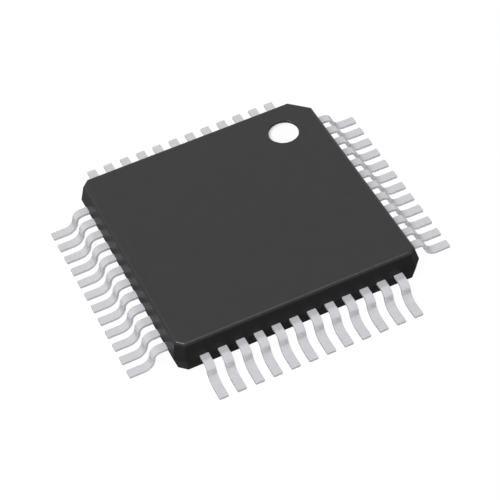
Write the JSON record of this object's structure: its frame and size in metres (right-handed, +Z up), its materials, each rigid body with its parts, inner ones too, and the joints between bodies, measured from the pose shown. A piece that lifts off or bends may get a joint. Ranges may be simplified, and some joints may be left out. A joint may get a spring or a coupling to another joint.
{
  "type": "quad flat pack chip",
  "caption": "Thin square moulded chip package with gull-wing leads on all four sides, a chamfered corner and a recessed mark for the first pin.",
  "frame": {"origin": "centre of the package on the seating plane, where the soles of the feet stand", "axes": "+Z up through the top face; the corner of the first pin is at -X, +Y; leads count counter-clockwise seen from above"},
  "size_m": [0.0092, 0.0092, 0.001],
  "materials": {
    "mould_compound": "matte black filled epoxy",
    "tin_plate": "satin tin plate on copper alloy",
    "copper_alloy": "plain stamped copper alloy",
    "silver_epoxy": "silver-filled adhesive",
    "silicon": "polished silicon",
    "gold": "drawn gold wire",
    "white_ink": "matte white ink"
  },
  "bodies": {
    "root": {"mould_body": "mould_compound", "pin_1_mark": "white_ink", "die_pad": "copper_alloy", "die_attach": "silver_epoxy", "silicon_die": "silicon", "bond_wires": "gold", "lead_01": "tin_plate", "lead_02": "tin_plate", "lead_03": "tin_plate", "lead_04": "tin_plate", "lead_05": "tin_plate", "lead_06": "tin_plate", "lead_07": "tin_plate", "lead_08": "tin_plate", "lead_09": "tin_plate", "lead_10": "tin_plate", "lead_11": "tin_plate", "lead_12": "tin_plate", "lead_13": "tin_plate", "lead_14": "tin_plate", "lead_15": "tin_plate", "lead_16": "tin_plate", "lead_17": "tin_plate", "lead_18": "tin_plate", "lead_19": "tin_plate", "lead_20": "tin_plate", "lead_21": "tin_plate", "lead_22": "tin_plate", "lead_23": "tin_plate", "lead_24": "tin_plate", "lead_25": "tin_plate", "lead_26": "tin_plate", "lead_27": "tin_plate", "lead_28": "tin_plate", "lead_29": "tin_plate", "lead_30": "tin_plate", "lead_31": "tin_plate", "lead_32": "tin_plate", "lead_33": "tin_plate", "lead_34": "tin_plate", "lead_35": "tin_plate", "lead_36": "tin_plate", "lead_37": "tin_plate", "lead_38": "tin_plate", "lead_39": "tin_plate", "lead_40": "tin_plate", "lead_41": "tin_plate", "lead_42": "tin_plate", "lead_43": "tin_plate", "lead_44": "tin_plate", "lead_45": "tin_plate", "lead_46": "tin_plate", "lead_47": "tin_plate", "lead_48": "tin_plate"}
  },
  "joints": []
}
